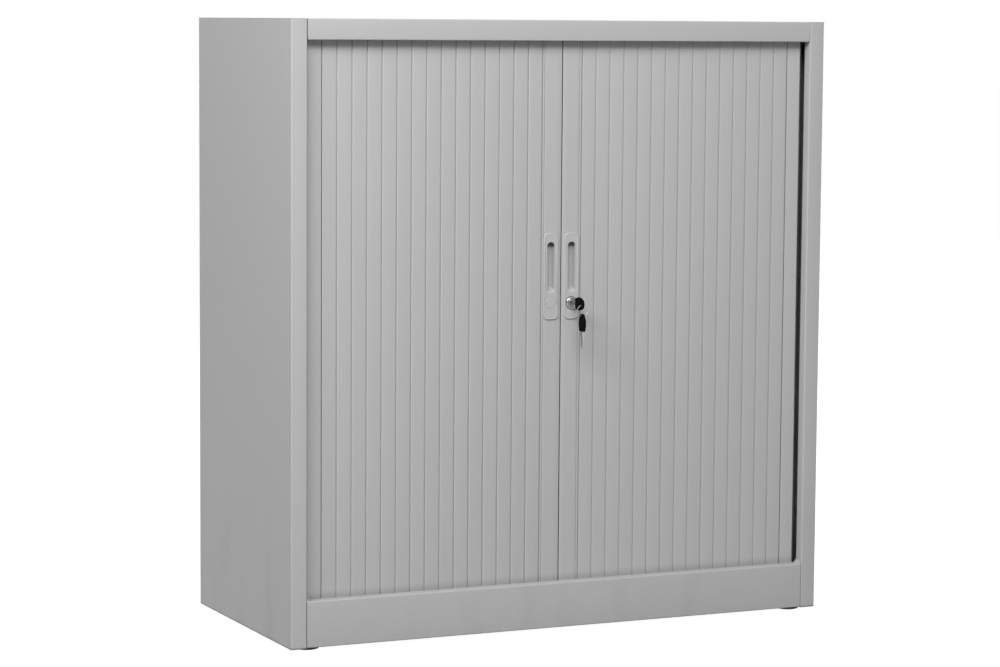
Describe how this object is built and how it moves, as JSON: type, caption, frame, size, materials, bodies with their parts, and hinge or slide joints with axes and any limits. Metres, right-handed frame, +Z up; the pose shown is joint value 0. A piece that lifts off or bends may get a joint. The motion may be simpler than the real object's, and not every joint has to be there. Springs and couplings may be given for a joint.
{
  "type": "roll front tool cabinet",
  "caption": "Low steel storage cabinet with two slatted roll fronts that slide open sideways, grip plates, a cylinder lock, shelves and levelling feet.",
  "frame": {"origin": "on the floor, under the middle of the steel case", "axes": "+X to the right along the front as seen by someone facing it, +Y from the front to the back, +Z up"},
  "size_m": [1, 0.4852, 1.045],
  "materials": {
    "case_paint": "light grey powder coat, satin",
    "slat_plastic": "light grey, fine satin",
    "handle_plastic": "light grey moulded, satin",
    "track_plastic": "dark grey extruded",
    "inner_steel": "light grey powder coat, satin",
    "clip_steel": "zinc plated",
    "foot_plastic": "black moulded",
    "lock_chrome": "polished",
    "key_steel": "nickel plated",
    "key_plastic": "black moulded"
  },
  "bodies": {
    "cabinet": {"left_side_panel": "case_paint", "right_side_panel": "case_paint", "top_panel": "case_paint", "back_panel": "case_paint", "base_pan": "inner_steel", "plinth": "case_paint", "left_liner": "inner_steel", "right_liner": "inner_steel", "lower_track": "track_plastic", "upper_track": "track_plastic", "corner_slats": "slat_plastic", "lower_shelf": "inner_steel", "upper_shelf": "inner_steel", "shelf_clips": "clip_steel", "foot_brackets": "inner_steel"},
    "left_door": {"left_lead_slat": "slat_plastic", "left_handle_plate": "handle_plastic"},
    "right_door": {"right_lead_slat": "slat_plastic", "right_handle_plate": "handle_plastic", "lock_barrel": "lock_chrome"},
    "lock": {"lock_plug": "lock_chrome", "lock_cam": "clip_steel"},
    "key": {"key_blade": "key_steel", "key_bow": "key_plastic"},
    "ring": {"key_ring": "key_steel"},
    "spare_key": {"spare_key_blade": "key_steel", "spare_key_bow": "key_plastic"},
    "feet": {"levelling_feet": "foot_plastic"},
    "left_slat_01": {"left_slat_01": "slat_plastic"},
    "left_slat_02": {"left_slat_02": "slat_plastic"},
    "left_slat_03": {"left_slat_03": "slat_plastic"},
    "left_slat_04": {"left_slat_04": "slat_plastic"},
    "left_slat_05": {"left_slat_05": "slat_plastic"},
    "left_slat_06": {"left_slat_06": "slat_plastic"},
    "left_slat_07": {"left_slat_07": "slat_plastic"},
    "left_slat_08": {"left_slat_08": "slat_plastic"},
    "left_slat_09": {"left_slat_09": "slat_plastic"},
    "left_slat_10": {"left_slat_10": "slat_plastic"},
    "left_slat_11": {"left_slat_11": "slat_plastic"},
    "left_slat_12": {"left_slat_12": "slat_plastic"},
    "left_slat_13": {"left_slat_13": "slat_plastic"},
    "left_slat_14": {"left_slat_14": "slat_plastic"},
    "left_slat_15": {"left_slat_15": "slat_plastic"},
    "left_slat_16": {"left_slat_16": "slat_plastic"},
    "right_slat_01": {"right_slat_01": "slat_plastic"},
    "right_slat_02": {"right_slat_02": "slat_plastic"},
    "right_slat_03": {"right_slat_03": "slat_plastic"},
    "right_slat_04": {"right_slat_04": "slat_plastic"},
    "right_slat_05": {"right_slat_05": "slat_plastic"},
    "right_slat_06": {"right_slat_06": "slat_plastic"},
    "right_slat_07": {"right_slat_07": "slat_plastic"},
    "right_slat_08": {"right_slat_08": "slat_plastic"},
    "right_slat_09": {"right_slat_09": "slat_plastic"},
    "right_slat_10": {"right_slat_10": "slat_plastic"},
    "right_slat_11": {"right_slat_11": "slat_plastic"},
    "right_slat_12": {"right_slat_12": "slat_plastic"},
    "right_slat_13": {"right_slat_13": "slat_plastic"},
    "right_slat_14": {"right_slat_14": "slat_plastic"},
    "right_slat_15": {"right_slat_15": "slat_plastic"},
    "right_slat_16": {"right_slat_16": "slat_plastic"}
  },
  "joints": [
    {"name": "left_door_slide", "type": "slide", "parent": "cabinet", "child": "left_door", "axis": [-1, 0, 0], "range_m": [0, 0.40125]},
    {"name": "left_slat_01_slide", "type": "slide", "parent": "cabinet", "child": "left_slat_01", "axis": [-1, 0, 0], "range_m": [0, 0.40125]},
    {"name": "left_slat_02_slide", "type": "slide", "parent": "cabinet", "child": "left_slat_02", "axis": [-1, 0.0051, 0], "range_m": [0, 0.3745]},
    {"name": "left_slat_03_slide", "type": "slide", "parent": "cabinet", "child": "left_slat_03", "axis": [-0.9999, 0.0109, 0], "range_m": [0, 0.34777]},
    {"name": "left_slat_04_slide", "type": "slide", "parent": "cabinet", "child": "left_slat_04", "axis": [-0.9998, 0.0178, 0], "range_m": [0, 0.32105]},
    {"name": "left_slat_05_slide", "type": "slide", "parent": "cabinet", "child": "left_slat_05", "axis": [-0.9997, 0.0258, 0], "range_m": [0, 0.29435]},
    {"name": "left_slat_06_slide", "type": "slide", "parent": "cabinet", "child": "left_slat_06", "axis": [-0.9994, 0.0355, 0], "range_m": [0, 0.26767]},
    {"name": "left_slat_07_slide", "type": "slide", "parent": "cabinet", "child": "left_slat_07", "axis": [-0.9989, 0.0473, 0], "range_m": [0, 0.24102]},
    {"name": "left_slat_08_slide", "type": "slide", "parent": "cabinet", "child": "left_slat_08", "axis": [-0.9981, 0.062, 0], "range_m": [0, 0.21441]},
    {"name": "left_slat_09_slide", "type": "slide", "parent": "cabinet", "child": "left_slat_09", "axis": [-0.9967, 0.0809, 0], "range_m": [0, 0.18787]},
    {"name": "left_slat_10_slide", "type": "slide", "parent": "cabinet", "child": "left_slat_10", "axis": [-0.9944, 0.1059, 0], "range_m": [0, 0.16141]},
    {"name": "left_slat_11_slide", "type": "slide", "parent": "cabinet", "child": "left_slat_11", "axis": [-0.9901, 0.1406, 0], "range_m": [0, 0.13509]},
    {"name": "left_slat_12_slide", "type": "slide", "parent": "cabinet", "child": "left_slat_12", "axis": [-0.9815, 0.1917, 0], "range_m": [0, 0.10902]},
    {"name": "left_slat_13_slide", "type": "slide", "parent": "cabinet", "child": "left_slat_13", "axis": [-0.9619, 0.2733, 0], "range_m": [0, 0.08343]},
    {"name": "left_slat_14_slide", "type": "slide", "parent": "cabinet", "child": "left_slat_14", "axis": [-0.9079, 0.4192, 0], "range_m": [0, 0.05893]},
    {"name": "left_slat_15_slide", "type": "slide", "parent": "cabinet", "child": "left_slat_15", "axis": [-0.7091, 0.7051, 0], "range_m": [0, 0.03772]},
    {"name": "left_slat_16_slide", "type": "slide", "parent": "cabinet", "child": "left_slat_16", "axis": [0, 1, 0], "range_m": [0, 0.0285]},
    {"name": "right_door_slide", "type": "slide", "parent": "cabinet", "child": "right_door", "axis": [1, 0, 0], "range_m": [0, 0.40125]},
    {"name": "right_slat_01_slide", "type": "slide", "parent": "cabinet", "child": "right_slat_01", "axis": [1, 0, 0], "range_m": [0, 0.40125]},
    {"name": "right_slat_02_slide", "type": "slide", "parent": "cabinet", "child": "right_slat_02", "axis": [1, 0.0051, 0], "range_m": [0, 0.3745]},
    {"name": "right_slat_03_slide", "type": "slide", "parent": "cabinet", "child": "right_slat_03", "axis": [0.9999, 0.0109, 0], "range_m": [0, 0.34777]},
    {"name": "right_slat_04_slide", "type": "slide", "parent": "cabinet", "child": "right_slat_04", "axis": [0.9998, 0.0178, 0], "range_m": [0, 0.32105]},
    {"name": "right_slat_05_slide", "type": "slide", "parent": "cabinet", "child": "right_slat_05", "axis": [0.9997, 0.0258, 0], "range_m": [0, 0.29435]},
    {"name": "right_slat_06_slide", "type": "slide", "parent": "cabinet", "child": "right_slat_06", "axis": [0.9994, 0.0355, 0], "range_m": [0, 0.26767]},
    {"name": "right_slat_07_slide", "type": "slide", "parent": "cabinet", "child": "right_slat_07", "axis": [0.9989, 0.0473, 0], "range_m": [0, 0.24102]},
    {"name": "right_slat_08_slide", "type": "slide", "parent": "cabinet", "child": "right_slat_08", "axis": [0.9981, 0.062, 0], "range_m": [0, 0.21441]},
    {"name": "right_slat_09_slide", "type": "slide", "parent": "cabinet", "child": "right_slat_09", "axis": [0.9967, 0.0809, 0], "range_m": [0, 0.18787]},
    {"name": "right_slat_10_slide", "type": "slide", "parent": "cabinet", "child": "right_slat_10", "axis": [0.9944, 0.1059, 0], "range_m": [0, 0.16141]},
    {"name": "right_slat_11_slide", "type": "slide", "parent": "cabinet", "child": "right_slat_11", "axis": [0.9901, 0.1406, 0], "range_m": [0, 0.13509]},
    {"name": "right_slat_12_slide", "type": "slide", "parent": "cabinet", "child": "right_slat_12", "axis": [0.9815, 0.1917, 0], "range_m": [0, 0.10902]},
    {"name": "right_slat_13_slide", "type": "slide", "parent": "cabinet", "child": "right_slat_13", "axis": [0.9619, 0.2733, 0], "range_m": [0, 0.08343]},
    {"name": "right_slat_14_slide", "type": "slide", "parent": "cabinet", "child": "right_slat_14", "axis": [0.9079, 0.4192, 0], "range_m": [0, 0.05893]},
    {"name": "right_slat_15_slide", "type": "slide", "parent": "cabinet", "child": "right_slat_15", "axis": [0.7091, 0.7051, 0], "range_m": [0, 0.03772]},
    {"name": "right_slat_16_slide", "type": "slide", "parent": "cabinet", "child": "right_slat_16", "axis": [0, 1, 0], "range_m": [0, 0.0285]},
    {"name": "lock_turn", "type": "hinge", "parent": "right_door", "child": "lock", "pos_m": [0.0195, -0.2, 0.5645], "axis": [0, 1, 0], "range_deg": [0, 90]},
    {"name": "key_slide", "type": "slide", "parent": "lock", "child": "key", "axis": [0, -1, 0], "range_m": [0, 0.03]},
    {"name": "ring_swing", "type": "hinge", "parent": "key", "child": "ring", "pos_m": [0.0195, -0.249, 0.5636], "axis": [1, 0, 0], "range_deg": [-60, 25]},
    {"name": "spare_key_swing", "type": "hinge", "parent": "ring", "child": "spare_key", "pos_m": [0.0195, -0.249, 0.5444], "axis": [1, 0, 0], "range_deg": [-60, 15]},
    {"name": "feet_level", "type": "slide", "parent": "cabinet", "child": "feet", "axis": [0, 0, -1], "range_m": [0, 0.01]}
  ],
  "couplings": [
    {"joint": "left_slat_01_slide", "follows": "left_door_slide", "ratio": 1},
    {"joint": "left_slat_02_slide", "follows": "left_door_slide", "ratio": 0.93335},
    {"joint": "left_slat_03_slide", "follows": "left_door_slide", "ratio": 0.86672},
    {"joint": "left_slat_04_slide", "follows": "left_door_slide", "ratio": 0.80013},
    {"joint": "left_slat_05_slide", "follows": "left_door_slide", "ratio": 0.73358},
    {"joint": "left_slat_06_slide", "follows": "left_door_slide", "ratio": 0.66709},
    {"joint": "left_slat_07_slide", "follows": "left_door_slide", "ratio": 0.60067},
    {"joint": "left_slat_08_slide", "follows": "left_door_slide", "ratio": 0.53436},
    {"joint": "left_slat_09_slide", "follows": "left_door_slide", "ratio": 0.4682},
    {"joint": "left_slat_10_slide", "follows": "left_door_slide", "ratio": 0.40226},
    {"joint": "left_slat_11_slide", "follows": "left_door_slide", "ratio": 0.33668},
    {"joint": "left_slat_12_slide", "follows": "left_door_slide", "ratio": 0.27171},
    {"joint": "left_slat_13_slide", "follows": "left_door_slide", "ratio": 0.20792},
    {"joint": "left_slat_14_slide", "follows": "left_door_slide", "ratio": 0.14686},
    {"joint": "left_slat_15_slide", "follows": "left_door_slide", "ratio": 0.094017},
    {"joint": "left_slat_16_slide", "follows": "left_door_slide", "ratio": 0.071028},
    {"joint": "right_slat_01_slide", "follows": "right_door_slide", "ratio": 1},
    {"joint": "right_slat_02_slide", "follows": "right_door_slide", "ratio": 0.93335},
    {"joint": "right_slat_03_slide", "follows": "right_door_slide", "ratio": 0.86672},
    {"joint": "right_slat_04_slide", "follows": "right_door_slide", "ratio": 0.80013},
    {"joint": "right_slat_05_slide", "follows": "right_door_slide", "ratio": 0.73358},
    {"joint": "right_slat_06_slide", "follows": "right_door_slide", "ratio": 0.66709},
    {"joint": "right_slat_07_slide", "follows": "right_door_slide", "ratio": 0.60067},
    {"joint": "right_slat_08_slide", "follows": "right_door_slide", "ratio": 0.53436},
    {"joint": "right_slat_09_slide", "follows": "right_door_slide", "ratio": 0.4682},
    {"joint": "right_slat_10_slide", "follows": "right_door_slide", "ratio": 0.40226},
    {"joint": "right_slat_11_slide", "follows": "right_door_slide", "ratio": 0.33668},
    {"joint": "right_slat_12_slide", "follows": "right_door_slide", "ratio": 0.27171},
    {"joint": "right_slat_13_slide", "follows": "right_door_slide", "ratio": 0.20792},
    {"joint": "right_slat_14_slide", "follows": "right_door_slide", "ratio": 0.14686},
    {"joint": "right_slat_15_slide", "follows": "right_door_slide", "ratio": 0.094017},
    {"joint": "right_slat_16_slide", "follows": "right_door_slide", "ratio": 0.071028}
  ]
}
